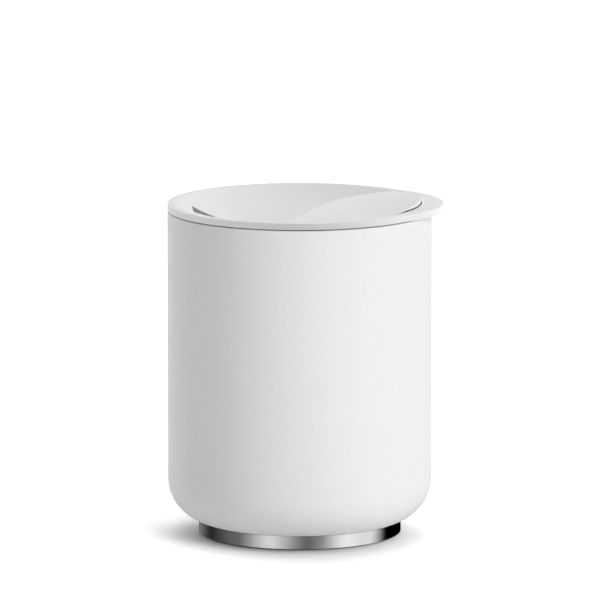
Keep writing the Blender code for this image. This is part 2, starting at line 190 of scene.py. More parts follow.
class LidSizes(bpy.types.PropertyGroup):
    """Sizes of the lid's rim, dish, opening, leaf, plug and seal."""
    rim_top: size("Rim top", "Height of the lid's rim", LID_BOX[1].z)
    rim_thickness: size("Rim thickness", "Thickness of the rim", 2.05 * MM)
    rim_width: size("Rim width", "Width of the flat rim", 2.6 * MM)
    rim_edge: size("Rim edge", "Radius of the rim's edges", 0.12 * MM)
    lip_overhang: size("Lip overhang", "How far the thumb lip stands out", LID_BOX[1].x - CUP_BOX[1].x)
    lip_drop: size("Lip drop", "How far the lip's underside slopes down to its end", 0.4 * MM)
    lip_centre: size("Lip centre", "Distance of the lip's centre from the axis", 12.4 * MM)
    lip_blend: size("Lip blend", "Softness of the lip's join with the rim", 1.2 * MM)
    bowl_offset: size("Bowl offset", "Shift of the dish away from the lip", -0.6 * MM)
    bowl_shift: size("Bowl shift", "Shift of the dish to the back", 0.9 * MM)
    bowl_edge: size("Bowl edge", "Radius of the edge between rim and dish", 0.12 * MM)
    dish_depth: size("Dish depth", "Depth of the dish", 6.0 * MM)
    dish_power: share("Dish power", "How flat the middle of the dish is", 3.0)
    dish_wall: size("Dish wall", "Thickness of the dish", 1.5 * MM)
    bank_angle: angle("Bank angle", "Direction in which the bank rises", 203.0)
    bank_share: share("Bank share", "Place of the crease between the dish's middle and edge", 0.403)
    bank_straight: share("Bank straight", "Even share of the bank's rise; the rest steepens to the rim", 0.9)
    seat_depth: size("Seat depth", "Depth of the ledge under the leaf", 1.8 * MM)
    seat_wall: size("Seat wall", "Thickness of the ledge's upright wall", 0.1 * MM)
    opening_inset: size("Opening inset", "Distance of the straight edge from the dish's edge", 10.9 * MM)
    opening_start: size("Opening start", "Place of the opening's first end", -19.2 * MM)
    opening_length: size("Opening length", "Length of the opening", 34.0 * MM)
    opening_width: size("Opening width", "Width of the opening", 5.1 * MM)
    opening_power: share("Opening power", "How pointed the opening's ends are", 1.6)
    opening_tip: share("Opening tip", "Share of the length left off at each end", 0.04)
    opening_land: size("Opening land", "Height of the straight edge's face", 1.2 * MM)
    ramp_depth: size("Ramp depth", "Depth of the roll into the opening", 1.2 * MM)
    ramp_width: size("Ramp width", "Width of the roll into the opening", 0.6 * MM)
    ramp_taper: share("Ramp taper", "How quickly the roll narrows towards the opening's ends", 0.3)
    leaf_start: angle("Leaf start", "Place of the leaf's first tip", -97.4)
    leaf_end: angle("Leaf end", "Place of the leaf's second tip", 31.0)
    leaf_bulge: size("Leaf bulge", "How far the crest bows into the dish", 2.2 * MM)
    leaf_crest: size("Leaf crest", "Height of the crest", 1.98 * MM)
    leaf_hollow: size("Leaf hollow", "Depth of the hollow beside the crest", 0.3 * MM)
    leaf_fall: share("Leaf fall", "How quickly the leaf falls from its crest", 2.4)
    leaf_edge_rise: size("Leaf edge rise", "Height of the outer edge beside the lip", 1.6 * MM)
    leaf_rise_front: angle("Leaf rise front", "Spread of the raised edge to the front", 46.0)
    leaf_rise_back: angle("Leaf rise back", "Spread of the raised edge to the back", 36.0)
    leaf_edge_drop: size("Leaf edge drop", "How far the outer edge lies below the rim", 0.1 * MM)
    leaf_edge: size("Leaf edge", "Thickness of the leaf's outer edge", 0.3 * MM)
    leaf_edge_round: size("Leaf edge round", "Radius of the leaf's outer edge", 0.1 * MM)
    leaf_shadow_gap: size("Leaf shadow gap", "Height of the gap under the raised edge", 0.35 * MM)
    leaf_thickness: size("Leaf thickness", "Thickness of the leaf inside its edge", 1.1 * MM)
    leaf_roll: size("Leaf roll", "Width of the roll behind the crest", 3.2 * MM)
    leaf_roll_taper: size("Leaf roll taper", "Width of the leaf at which the roll is half as wide", 6.0 * MM)
    leaf_undercut: size("Leaf undercut", "Depth of the gap under the leaf's edge", 4.0 * MM)
    leaf_undercut_share: share("Leaf undercut share", "Largest share of the leaf that is undercut", 0.45)
    leaf_seat_gap: size("Leaf seat gap", "Clearance under the leaf", 0.45 * MM)
    leaf_tip: share("Leaf tip", "Share of the leaf left off at each tip", 0.004)
    spigot_wall: size("Spigot wall", "Thickness of the ring under the dish", 1.2 * MM)
    spigot_length: size("Spigot length", "Length of the ring under the dish", 3.6 * MM)
    plug_radius: size("Plug radius", "Outer radius of the plug", PLUG_BOX[1].x)
    plug_wall: size("Plug wall", "Thickness of the plug", 1.7 * MM)
    plug_top: size("Plug top", "Height of the plug's upper end", PLUG_BOX[1].z)
    plug_bottom: size("Plug bottom", "Height of the plug's lower end", PLUG_BOX[0].z)
    seal_radius: size("Seal radius", "Outer radius of the seal", SEAL_BOX[1].x)
    seal_top: size("Seal top", "Height of the seal's upper side", SEAL_BOX[1].z)
    seal_bottom: size("Seal bottom", "Height of the seal's lower side", SEAL_BOX[0].z)
    seal_depth: size("Seal depth", "Depth of the seal's groove", 0.9 * MM)
    lid_steps: IntProperty(name="Lid steps", description="Steps round the lid", default=288)
    leaf_steps: IntProperty(name="Leaf steps", description="Steps along the leaf", default=160)


class Finishes(bpy.types.PropertyGroup):
    """Colours and textures of the cup's materials."""
    coat: colour("Coat", "Colour of the cup's powder coat", (0.86, 0.86, 0.86))
    coat_speckle: colour("Coat speckle", "Colour of the coat's grain", (0.82, 0.82, 0.82))
    moulding: colour("Moulding", "Colour of the lid", (0.85, 0.85, 0.85))
    moulding_speckle: colour("Moulding speckle", "Colour of the lid's grain", (0.82, 0.82, 0.82))
    steel: colour("Steel", "Colour of the polished foot", (0.78, 0.78, 0.78))
    steel_film: colour("Steel film", "Colour of the polished foot where it is handled", (0.72, 0.72, 0.72))
    silicone: colour("Silicone", "Colour of the seal and the pad", (0.30, 0.30, 0.31))
    silicone_bloom: colour("Silicone bloom", "Colour of the bloom on the silicone", (0.38, 0.38, 0.39))
    tray: colour("Tray", "Colour of the magnets' tray", (0.03, 0.03, 0.03))
    tray_scuff: colour("Tray scuff", "Colour of the tray's scuffs", (0.06, 0.06, 0.06))
    nickel: colour("Nickel", "Colour of the magnets", (0.60, 0.58, 0.55))
    nickel_dull: colour("Dull nickel", "Colour of the magnets where they are dull", (0.48, 0.46, 0.44))
    coat_grain: size("Coat grain", "Size of the powder coat's grain", 0.45 * MM)
    moulding_grain: size("Moulding grain", "Size of the lid's spark-eroded grain", 0.25 * MM)


class StageSettings(bpy.types.PropertyGroup):
    """Camera, lights and floor."""
    camera_turn: angle("Camera turn", "Direction of the camera round the cup", -3.3)
    camera_distance: size("Camera distance", "Level distance of the camera", 2.5946)
    camera_height: size("Camera height", "Height of the camera", 0.5145)
    camera_pitch: angle("Camera pitch", "How far the camera looks down", 9.623)
    camera_lens: share("Camera lens", "Focal length in millimetres", 497.02)
    camera_shift: share("Camera shift", "Sideways shift of the picture", 0.00047)
    fill: share("Fill", "Strength of the even light from all round", 0.24)
    floor_radius: size("Floor radius", "Radius of the floor", 8.0)
    floor_pale: share("Floor pale", "Colour of the floor for the light that it throws back", 0.94)
    floor_white: share("Floor white", "Colour of the floor where it is looked at", 1.6)
    # Painted contact shadow round the foot, which darkens the floor's seen colour
    painted_shadow_reach: size("Contact reach", "Distance at which the foot's contact shade is a third", 10.0 * MM)
    painted_shadow_depth: share("Contact depth", "Depth of the contact shade, on average round the foot", 0.53)
    painted_shadow_lean: share("Contact lean", "How much deeper the contact shade is on its deepest side", 0.35)
    painted_shadow_turn: angle("Contact turn", "Direction of the contact shade's deepest side", -20.0)
    card_reach: size("Card reach", "How far the reflector cards reach out from the foot", 80.0 * MM)
    card_height: size("Card height", "Height of the reflector cards above the floor", 0.1 * MM)


# Modelling with Blender's own tools


def deselect():
    """Leaves edit mode and deselects everything."""
    if bpy.context.object and bpy.context.object.mode != "OBJECT":
        bpy.ops.object.mode_set(mode="OBJECT")
    bpy.ops.object.select_all(action="DESELECT")


def clean_up():
    """Merges what coincides and turns all faces outwards, in edit mode."""
    bpy.ops.mesh.select_all(action="SELECT")
    bpy.ops.mesh.remove_doubles(threshold=MERGE)
    bpy.ops.mesh.normals_make_consistent(inside=False)
    bpy.ops.object.mode_set(mode="OBJECT")


def smooth(piece, sharp=SHARP):
    """Shades a piece smooth except at its sharp edges."""
    deselect()
    piece.select_set(True)
    bpy.context.view_layer.objects.active = piece
    bpy.ops.object.shade_smooth_by_angle(angle=radians(sharp))


def named(name):
    """Gives the new active piece its name."""
    piece = bpy.context.object
    piece.name = name
    piece.data.name = name
    return piece


def spun(name, profile, steps, closed=True):
    """Draws a profile of (radius, height) points with extrude and spins it round the Z axis."""
    deselect()
    bpy.ops.mesh.primitive_plane_add(size=MM)
    piece = named(name)
    bpy.ops.object.mode_set(mode="EDIT")
    bpy.ops.mesh.select_all(action="SELECT")
    bpy.ops.mesh.merge(type="CENTER")
    bpy.ops.transform.translate(value=(profile[0][0], 0.0, profile[0][1]))
    ends = profile[1:] + profile[:1] if closed else profile[1:]
    here = profile[0]
    for there in ends:
        step = (there[0] - here[0], 0.0, there[1] - here[1])
        bpy.ops.mesh.extrude_region_move(TRANSFORM_OT_translate={"value": step})
        here = there
    bpy.ops.mesh.select_all(action="SELECT")
    bpy.ops.mesh.spin(steps=steps, angle=FULL_TURN, center=(0.0, 0.0, 0.0), axis=(0.0, 0.0, 1.0))
    clean_up()
    smooth(piece)
    return piece


def drawn(name, sections, round_about=True, ends=False):
    """Lays a grid over sections of points, closes it round about and fills its ends."""
    rows = [list(section) for section in sections]
    if round_about:
        rows.append(rows[0])
    else:
        rows = [row + row[:1] for row in rows]
    deselect()
    bpy.ops.mesh.primitive_grid_add(x_subdivisions=len(rows[0]) - 1, y_subdivisions=len(rows) - 1, size=MM)
    piece = named(name)
    flat = [value for row in rows for point in row for value in point]
    piece.data.vertices.foreach_set("co", flat)
    piece.data.update()
    bpy.ops.object.mode_set(mode="EDIT")
    bpy.ops.mesh.select_all(action="SELECT")
    bpy.ops.mesh.remove_doubles(threshold=MERGE)
    if ends:
        bpy.ops.mesh.select_all(action="SELECT")
        bpy.ops.mesh.fill_holes(sides=0)
    clean_up()
    return piece


def cut_out(piece, cutter):
    """Cuts one piece with another and removes the cutter."""
    deselect()
    piece.select_set(True)
    bpy.context.view_layer.objects.active = piece
    cut = piece.modifiers.new("cut", "BOOLEAN")
    cut.operation = "DIFFERENCE"
    cut.object = cutter
    bpy.ops.object.modifier_apply(modifier=cut.name)
    bpy.data.objects.remove(cutter, do_unlink=True)


def hand_over(piece, body, node, material):
    """Gives a finished piece its material, its body and the CAD node that it stands for."""
    piece.data.materials.clear()
    piece.data.materials.append(material)
    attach(piece, body)
    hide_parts(node)


def arc(centre_r, centre_z, radius, first, last, count):
    """Points of a profile along an arc, angles in degrees from the outward direction."""
    points = []
    for i in range(count + 1):
        turn = radians(first + (last - first) * i / count)
        points.append((centre_r + radius * cos(turn), centre_z + radius * sin(turn)))
    return points


# Forms of the lid


class LidForm:
    """Outlines and heights of the lid, from the plane of its rim."""

    def __init__(self, cup, lid):
        self.cup = cup
        self.lid = lid
        self.bowl = cup.body_radius - lid.rim_width
        self.lip_radius = cup.body_radius + lid.lip_overhang - lid.lip_centre
        self.bank_offset = lid.bank_share * self.bowl
        self.opening_offset = self.bowl - lid.opening_inset
        self.spigot = lid.plug_radius - lid.plug_wall - cup.fit_gap
        self.spigot_bore = self.spigot - lid.spigot_wall
        self.cut_bottom = -lid.dish_depth - 3 * lid.dish_wall
        self.seat_margin = cup.fit_gap / self.bowl

    def outline(self, turn):
        """Radius of the outer edge: the cup's circle with the thumb lip blended into it."""
        lid = self.lid
        reach = lid.lip_centre * cos(turn)
        lip = reach + sqrt(max(0.0, reach**2 + self.lip_radius**2 - lid.lip_centre**2))
        near = max(0.0, lid.lip_blend - abs(lip - self.cup.body_radius)) / lid.lip_blend
        return max(lip, self.cup.body_radius) + near**2 * lid.lip_blend / 4

    def point(self, reach, turn, height):
        """A point given from the dish's own centre, at its place in the frame."""
        x = self.lid.bowl_offset + reach * cos(turn)
        y = self.lid.bowl_shift + reach * sin(turn)
        return (x, y, self.lid.rim_top + height)

    def round_dish(self, reach):
        """Height of the round dish at a distance from its centre."""
        return -self.lid.dish_depth * (1.0 - min(1.0, reach / self.bowl)**self.lid.dish_power)

    def dish(self, reach, turn):
        """Height of the dish: round, with a straight crease and a steeper bank beyond it."""
        out = reach * cos(turn - self.lid.bank_angle)
        along = reach * sin(turn - self.lid.bank_angle)
        if out <= self.bank_offset:
            return self.round_dish(reach)
        edge = sqrt(max(0.0, self.bowl**2 - along**2))
        part = min(1.0, (out - self.bank_offset) / max(edge - self.bank_offset, SMALL))
        even = self.lid.bank_straight
        rise = even * part + (1.0 - even) * part**2
        return (1.0 - rise) * self.round_dish(hypot(self.bank_offset, along))

    def crease_reach(self, turn):
        """Reach of the row of points that follows the crease where it passes."""
        limit = CREASE_END * self.bowl
        half = acos(self.bank_offset / self.bowl)
        away = abs((turn - self.lid.bank_angle + pi) % FULL_TURN - pi)
        if away < half:
            return min(limit, self.bank_offset / cos(away))
        fade = min(1.0, (away - half) / CREASE_FADE)
        return limit + (CREASE_ELSEWHERE * self.bowl - limit) * fade

    def seat(self, turn):
        """Depth of the ledge that the leaf lies in, at the dish's edge."""
        lid = self.lid
        from_middle = (turn - (lid.leaf_start + lid.leaf_end) / 2 + pi) % FULL_TURN - pi
        beyond = abs(from_middle) - (lid.leaf_end - lid.leaf_start) / 2
        return lid.seat_depth * min(1.0, max(0.0, 2.0 - beyond / self.seat_margin))

    def seated(self, reach, turn):
        """Height of the dish with the leaf's ledge cut into its edge."""
        return min(self.dish(reach, turn), -self.seat(turn))

    def underside(self, reach, turn):
        """Height of the dish's underside."""
        return min(self.seated(reach, turn), -self.lid.seat_depth / 2) - self.lid.dish_wall

    def top_points(self, turn):
        """Points of a section over the dish, close together beside the crease."""
        lid = self.lid
        crease = self.crease_reach(turn)
        before = crease - CREASE_BESIDE
        beyond = crease + CREASE_BESIDE
        ledge = self.bowl - max(lid.seat_wall, lid.bowl_edge)
        reaches = [before * k / DISH_STEPS for k in range(DISH_STEPS + 1)] + [crease]
        reaches += [beyond + (ledge - beyond) * k / BANK_STEPS for k in range(BANK_STEPS + 1)]
        points = [self.point(reach, turn, self.seated(reach, turn)) for reach in reaches]
        points.append(self.point(self.bowl, turn, -lid.bowl_edge / 3))
        points.append(self.point(self.bowl + lid.bowl_edge / 3, turn, 0.0))
        return points

    def rim_points(self, turn):
        """Points of a section round the rim and down the spigot."""
        lid = self.lid
        body = self.cup.body_radius
        edge = self.outline(turn)
        low = -lid.rim_thickness
        lip_low = low - lid.lip_drop * (edge - body) / lid.lip_overhang
        below = low - lid.spigot_length
        rim = arc(edge - lid.rim_edge, -lid.rim_edge, lid.rim_edge, 90, 0, EDGE_STEPS)
        rim += arc(edge - lid.rim_edge, lip_low + lid.rim_edge, lid.rim_edge, 0, -90, EDGE_STEPS)
        rim += [(body - 2 * lid.rim_edge, low), (self.spigot, low), (self.spigot, below)]
        rim += [(self.spigot_bore, below), (self.spigot_bore, self.underside(self.spigot_bore, turn))]
        return [(radius * cos(turn), radius * sin(turn), lid.rim_top + height) for radius, height in rim]

    def section(self, turn):
        """One radial section of the lid, from the middle of the dish round to the middle underneath."""
        points = self.top_points(turn) + self.rim_points(turn)
        for k in range(UNDERSIDE_STEPS - 1, -1, -1):
            reach = self.spigot_bore * k / UNDERSIDE_STEPS
            points.append(self.point(reach, turn, self.underside(reach, turn)))
        return points

    def beside_bank(self, out, along):
        """Reach and turn of a place given by its distance up the bank and along it."""
        return hypot(out, along), self.lid.bank_angle + atan2(along, out)

    def opening_inside(self, along):
        """Section of the opening's cutter at its straight edge: an upright face, undercut below."""
        lid = self.lid
        edge = self.beside_bank(self.opening_offset, along)
        land = self.dish(*edge) - lid.opening_land
        deep = self.beside_bank(self.opening_offset - (land - self.cut_bottom), along)
        section = [self.point(*deep, self.cut_bottom)]
        for k in range(OPENING_WALL_STEPS + 1):
            section.append(self.point(*edge, land + (lid.rim_thickness - land) * k / OPENING_WALL_STEPS))
        return section

    def opening_outside(self, along, swell):
        """Section of the opening's cutter at its curved edge, over which the dish rolls down."""
        lid = self.lid
        out = self.opening_offset + lid.opening_width * swell**lid.opening_power
        section = [self.point(*self.beside_bank(out, along), self.cut_bottom)]
        for k in range(OPENING_ROLL_STEPS + 1):
            swing = OPENING_SWING * k / OPENING_ROLL_STEPS
            reach = out + lid.ramp_width * swell**lid.ramp_taper * (1.0 - cos(swing))
            spot = self.beside_bank(reach, along)
            section.append(self.point(*spot, self.dish(*spot) - lid.ramp_depth * (1.0 - sin(swing))))
        section.append(self.point(*spot, lid.rim_thickness))
        return section

    def opening_sections(self):
        """Sections of the opening's cutter, out along its straight edge and back along its curved one."""
        lid = self.lid
        span = 1.0 - 2 * lid.opening_tip
        marks = [lid.opening_tip + span * k / OPENING_STEPS for k in range(OPENING_STEPS + 1)]
        places = [(lid.opening_start + lid.opening_length * mark, sin(pi * mark)) for mark in marks]
        inside = [self.opening_inside(along) for along, swell in places]
        return inside + [self.opening_outside(along, swell) for along, swell in reversed(places)]

    def leaf_edge_height(self, turn):
        """Height of the leaf's outer edge, raised beside the thumb lip."""
        lid = self.lid
        away = min(1.0, turn / lid.leaf_rise_back if turn > 0.0 else -turn / lid.leaf_rise_front)
        return lid.leaf_edge_rise * cos(away * pi / 2) - lid.leaf_edge_drop

    def leaf_seat_height(self, spot):
        """Height of the leaf's underside, which lies over the dish or its ledge."""
        lid = self.lid
        x = spot.x - lid.bowl_offset
        y = spot.y - lid.bowl_shift
        return min(self.dish(hypot(x, y), atan2(y, x)), -lid.seat_depth) + lid.leaf_seat_gap

    def leaf_place(self, mark):
        """Crest of the leaf at a share of its length, the way from there to its edge, and the edge's turn."""
        lid = self.lid
        reach = self.bowl - self.cup.fit_gap
        start = Vector(self.point(reach, lid.leaf_start, 0.0))
        end = Vector(self.point(reach, lid.leaf_end, 0.0))
        half = (end - start).length / 2
        radius = (half**2 + lid.leaf_bulge**2) / (2 * lid.leaf_bulge)
        along = (end - start) / (2 * half)
        inward = Vector((-along.y, along.x, 0.0))
        swing = 4 * atan2(lid.leaf_bulge, half) * (mark - 0.5)
        lift = lid.leaf_bulge - radius * (1 - cos(swing))
        crest = (start + end) / 2 + along * (radius * sin(swing)) + inward * lift
        turn = lid.leaf_start + (lid.leaf_end - lid.leaf_start) * mark
        return crest, Vector(self.point(reach, turn, 0.0)) - crest, turn

    def leaf_section(self, mark):
        """One section across the leaf, from its foot in the dish over the crest to its outer edge."""
        lid = self.lid
        crest, way, turn = self.leaf_place(mark)
        width = way.length
        across = way / width
        edge_z = self.leaf_edge_height(turn)
        crest_z = lid.leaf_crest * sin(pi * mark) - lid.leaf_edge_drop * (1.0 - mark)
        crest_z += self.leaf_edge_height(lid.leaf_end) * mark
        roll = lid.leaf_roll * width / (width + lid.leaf_roll_taper)
        foot_z = self.leaf_seat_height(crest - across * roll)
        profile = [(-roll, foot_z)]
        for k in range(1, LEAF_ROLL_STEPS):
            swing = pi / 2 * k / LEAF_ROLL_STEPS
            profile.append((-roll * cos(swing), foot_z + (crest_z - foot_z) * sin(swing)))
        rounding = min(lid.leaf_edge_round, width * LEAF_ROUND_SHARE)
        for k in range(LEAF_TOP_STEPS + 1):
            part = k / LEAF_TOP_STEPS
            height = edge_z + (crest_z - edge_z) * (1.0 - part)**lid.leaf_fall
            profile.append(((width - rounding) * part, height - lid.leaf_hollow * sin(pi * part)))
        held = width - min(lid.leaf_undercut, width * lid.leaf_undercut_share)
        profile.append((width, edge_z - rounding))
        profile.append((width, min(lid.leaf_shadow_gap, edge_z - lid.leaf_edge)))
        profile.append((held, edge_z - lid.leaf_thickness))
        for k in range(LEAF_SEAT_STEPS, 0, -1):
            distance = held * k / LEAF_SEAT_STEPS
            profile.append((distance, self.leaf_seat_height(crest + across * distance)))
        spots = [(crest + across * distance, height) for distance, height in profile]
        return [(spot.x, spot.y, lid.rim_top + height) for spot, height in spots]


# Materials


def added(tree, kind, inputs=None):
    """New node of a tree, with some of its inputs set."""
    node = tree.nodes.new(kind)
    for label, value in (inputs or {}).items():
        node.inputs[label].default_value = value
    return node


def grain_group():
    """Node group for the fine grain of a coat or moulding: a tone, and a height for bump."""
    name = "fine_grain"
    if name in bpy.data.node_groups:
        return bpy.data.node_groups[name]
    group = bpy.data.node_groups.new(name, "ShaderNodeTree")
    sides = group.interface
    for label, kind in (("Grain per metre", "Float"), ("Base", "Color"), ("Speckle", "Color")):
        sides.new_socket(name=label, in_out="INPUT", socket_type="NodeSocket" + kind)
    for label, kind in (("Colour", "Color"), ("Height", "Float"), ("Mottle", "Float")):
        sides.new_socket(name=label, in_out="OUTPUT", socket_type="NodeSocket" + kind)
    start = added(group, "NodeGroupInput")
    end = added(group, "NodeGroupOutput")
    place = added(group, "ShaderNodeTexCoord")
    fine = added(group, "ShaderNodeTexNoise", {"Detail": 2.0, "Roughness": 0.6})
    broad = added(group, "ShaderNodeTexNoise", {"Scale": 60.0, "Detail": 3.0})
    spread = added(group, "ShaderNodeMapRange", {"From Min": 0.35, "From Max": 0.65})
    mix = added(group, "ShaderNodeMix")
    mix.data_type = "RGBA"
    links = group.links
    links.new(place.outputs["Object"], fine.inputs["Vector"])
    links.new(place.outputs["Object"], broad.inputs["Vector"])
    links.new(start.outputs["Grain per metre"], fine.inputs["Scale"])
    links.new(fine.outputs["Fac"], spread.inputs["Value"])
    links.new(spread.outputs["Result"], mix.inputs["Factor"])
    links.new(start.outputs["Base"], mix.inputs["A"])
    links.new(start.outputs["Speckle"], mix.inputs["B"])
    links.new(mix.outputs["Result"], end.inputs["Colour"])
    links.new(fine.outputs["Fac"], end.inputs["Height"])
    links.new(broad.outputs["Fac"], end.inputs["Mottle"])
    return group


def grained(name, base, speckle, grain, bump, rough, metallic=0.0, shine=0.5):
    """A material with a fine grain in its colour, surface and roughness, which lies between two values."""
    if name in bpy.data.materials:
        return bpy.data.materials[name]
    material = bpy.data.materials.new(name)
    material.use_nodes = True
    tree = material.node_tree
    shader = tree.nodes["Principled BSDF"]
    shader.inputs["Metallic"].default_value = metallic
    shader.inputs["Specular IOR Level"].default_value = shine
    texture = added(tree, "ShaderNodeGroup")
    texture.node_tree = grain_group()
    texture.inputs["Grain per metre"].default_value = 1.0 / grain
    texture.inputs["Base"].default_value = (*base, 1.0)
    texture.inputs["Speckle"].default_value = (*speckle, 1.0)
    gloss = added(tree, "ShaderNodeMapRange", {"To Min": rough[0], "To Max": rough[1]})
    relief = added(tree, "ShaderNodeBump", {"Strength": bump, "Distance": grain * RELIEF_SHARE})
    links = tree.links
    links.new(texture.outputs["Colour"], shader.inputs["Base Color"])
    links.new(texture.outputs["Mottle"], gloss.inputs["Value"])
    links.new(gloss.outputs["Result"], shader.inputs["Roughness"])
    links.new(texture.outputs["Height"], relief.inputs["Height"])
    links.new(relief.outputs["Normal"], shader.inputs["Normal"])
    return material


def coat_material(looks):
    """Matte powder coat of the cup."""
    return grained("powder_coat_white", looks.coat, looks.coat_speckle, looks.coat_grain,
                   bump=0.2, rough=(0.6, 0.72), shine=0.2)


def moulding_material(looks):
    """Satin white of the lid."""
    return grained("lid_white", looks.moulding, looks.moulding_speckle, looks.moulding_grain,
                   bump=0.15, rough=(0.36, 0.44), shine=0.1)


def steel_material(looks):
    """Mirror polish of the foot."""
    return grained("foot_polish", looks.steel, looks.steel_film, grain=6.0 * MM,
                   bump=0.0, rough=(0.03, 0.08), metallic=1.0)


def silicone_material(looks):
    """Matte grey silicone of the seal and the pad."""
    return grained("silicone_grey", looks.silicone, looks.silicone_bloom, grain=0.8 * MM,
                   bump=0.2, rough=(0.6, 0.8))


def tray_material(looks):
    """Black moulding of the magnets' tray."""
    return grained("tray_black", looks.tray, looks.tray_scuff, grain=0.6 * MM,
                   bump=0.25, rough=(0.45, 0.6))


def nickel_material(looks):
    """Nickel plate of the magnets."""
    return grained("magnet_nickel", looks.nickel, looks.nickel_dull, grain=1.5 * MM,
                   bump=0.05, rough=(0.2, 0.35), metallic=1.0)


# Operators


class GROUNDS_OT_cup(bpy.types.Operator):
    """Turns the cup's body: floor, rounded edge, straight wall and rounded rim"""
    bl_idname = "grounds.cup"
    bl_label = "Cup body"

    def execute(self, context):
        cup = context.scene.grounds_cup
        corner_r = cup.body_radius - cup.corner_radius
        corner_z = cup.underside + cup.corner_radius
        bore = cup.body_radius - cup.wall
        rim = cup.rim_height - cup.rim_round
        profile = [(0.0, cup.underside + cup.wall)]
        profile += arc(corner_r, corner_z, cup.corner_radius - cup.wall, -90, 0, BORE_STEPS)
        profile += arc(bore + cup.rim_round, rim, cup.rim_round, 180, 90, EDGE_STEPS)
        profile += arc(cup.body_radius - cup.rim_round, rim, cup.rim_round, 90, 0, EDGE_STEPS)
        profile += arc(corner_r, corner_z, cup.corner_radius, 0, -90, CORNER_STEPS)
        profile.append((0.0, cup.underside))
        piece = spun("cup_body", profile, cup.turn_steps, closed=False)
        hand_over(piece, "cup", "cup_shell", coat_material(context.scene.grounds_finishes))
        return {"FINISHED"}


class GROUNDS_OT_foot(bpy.types.Operator):
    """Turns the polished foot with its shelf, and the pad that the cup stands on"""
    bl_idname = "grounds.foot"
    bl_label = "Foot and pad"

    def execute(self, context):
        cup = context.scene.grounds_cup
        looks = context.scene.grounds_finishes
        corner_r = cup.body_radius - cup.corner_radius
        bore = cup.foot_radius - cup.foot_wall
        shelf_top = cup.underside - cup.foot_seam
        shelf_low = shelf_top - cup.foot_shelf
        shelf_hole = bore - cup.foot_shelf_width
        profile = [(shelf_hole, shelf_top), (corner_r, shelf_top)]
        for k in range(FOOT_SEAT_STEPS + 1):
            radius = corner_r + (cup.foot_radius - corner_r) * k / FOOT_SEAT_STEPS
            sink = sqrt(cup.corner_radius**2 - (radius - corner_r)**2)
            profile.append((radius, cup.underside + cup.corner_radius - sink - cup.foot_seam))
        edge = cup.foot_lift + cup.foot_edge
        profile += arc(cup.foot_radius - cup.foot_edge, edge, cup.foot_edge, 0, -90, FOOT_EDGE_STEPS)
        profile += [(bore, cup.foot_lift), (bore, shelf_low), (shelf_hole, shelf_low)]
        foot = spun("polished_foot", profile, cup.turn_steps)
        hand_over(foot, "cup", "foot_ring", steel_material(looks))

        edge_r = cup.pad_radius - cup.pad_edge
        profile = [(0.0, cup.pad_thickness), (cup.pad_radius, cup.pad_thickness)]
        profile += arc(edge_r, cup.pad_edge, cup.pad_edge, 0, -90, EDGE_STEPS)
        profile.append((0.0, 0.0))
        pad = spun("standing_pad", profile, cup.turn_steps, closed=False)
        hand_over(pad, "cup", "foot_pad", silicone_material(looks))
        return {"FINISHED"}


class GROUNDS_OT_lid(bpy.types.Operator):
    """Draws the lid with its thumb lip, dish, bank and spigot, and cuts the opening"""
    bl_idname = "grounds.lid"
    bl_label = "Lid"

    def execute(self, context):
        lid = context.scene.grounds_lid
        form = LidForm(context.scene.grounds_cup, lid)
        turns = [FULL_TURN * k / lid.lid_steps for k in range(lid.lid_steps)]
        for beyond in (form.seat_margin, 2 * form.seat_margin):
            turns += [(lid.leaf_start - beyond) % FULL_TURN, (lid.leaf_end + beyond) % FULL_TURN]
        piece = drawn("lid_top", [form.section(turn) for turn in sorted(turns)])
        cutter = drawn("opening_cutter", form.opening_sections(), ends=True)
        cut_out(piece, cutter)
        smooth(piece, LID_SHARP)
        finish = moulding_material(context.scene.grounds_finishes)
        hand_over(piece, "lid", "lid_cover", finish)
        return {"FINISHED"}


class GROUNDS_OT_leaf(bpy.types.Operator):
    """Draws the leaf that swirls up out of the dish"""
    bl_idname = "grounds.leaf"
    bl_label = "Leaf"

    def execute(self, context):
        lid = context.scene.grounds_lid
        form = LidForm(context.scene.grounds_cup, lid)
        span = 1.0 - 2 * lid.leaf_tip
        marks = [lid.leaf_tip + span * k / lid.leaf_steps for k in range(lid.leaf_steps + 1)]
        sections = [form.leaf_section(mark) for mark in marks]
        piece = drawn("raised_leaf", sections, round_about=False, ends=True)
        smooth(piece, LEAF_SHARP)
        finish = moulding_material(context.scene.grounds_finishes)
        hand_over(piece, "lid", "swirl_leaf", finish)
        return {"FINISHED"}


